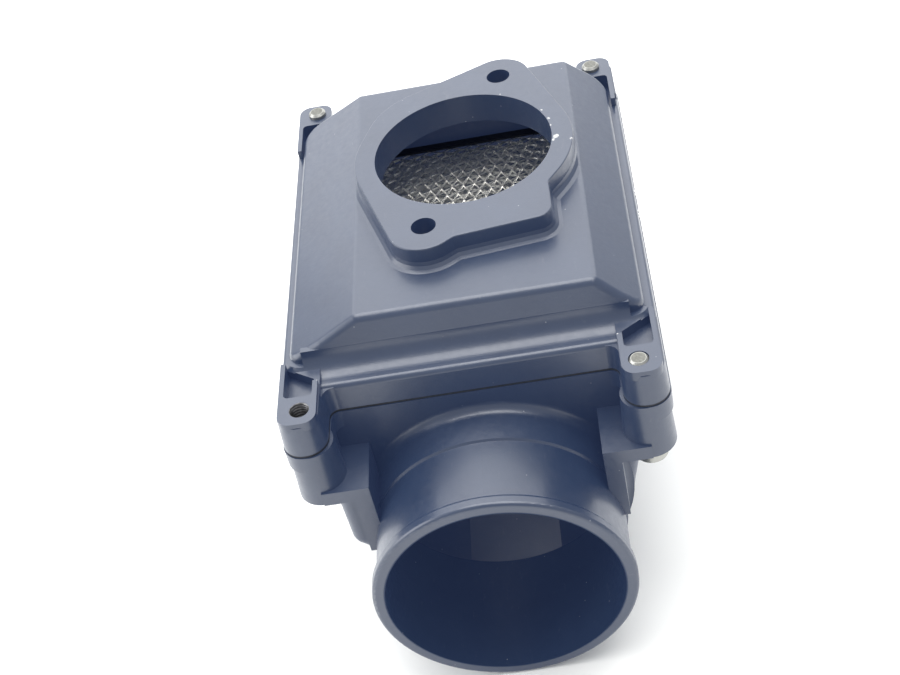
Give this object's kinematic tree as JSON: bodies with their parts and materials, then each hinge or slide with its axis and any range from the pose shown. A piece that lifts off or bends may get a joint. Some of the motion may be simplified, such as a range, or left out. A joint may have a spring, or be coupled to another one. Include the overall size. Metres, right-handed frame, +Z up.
{
  "type": "air box",
  "caption": "Two-piece cast air box with a bored flange on its faceted lid, a beaded round inlet tube on its tub, and mesh screens clamped between the halves.",
  "frame": {"origin": "middle of the four-screw rectangle, on the plane that the tub's flat underside stands on", "axes": "+Z up out of the carburettor flange, -Y out of the inlet tube's mouth, +X to the right seen from the inlet"},
  "size_m": [0.1152, 0.1866, 0.1194],
  "materials": {
    "case_paint": "satin dark slate paint, chipped on edges",
    "gasket": "matt black",
    "screen_metal": "dull expanded metal",
    "screw_steel": "bright plated"
  },
  "bodies": {
    "root": {"upper_case": "case_paint", "lower_case": "case_paint", "case_gasket": "gasket", "flame_screen_upper": "screen_metal", "flame_screen_middle": "screen_metal", "flame_screen_lower": "screen_metal", "case_screw_front_right": "screw_steel", "case_screw_rear_left": "screw_steel", "case_screw_rear_right": "screw_steel"}
  },
  "joints": []
}
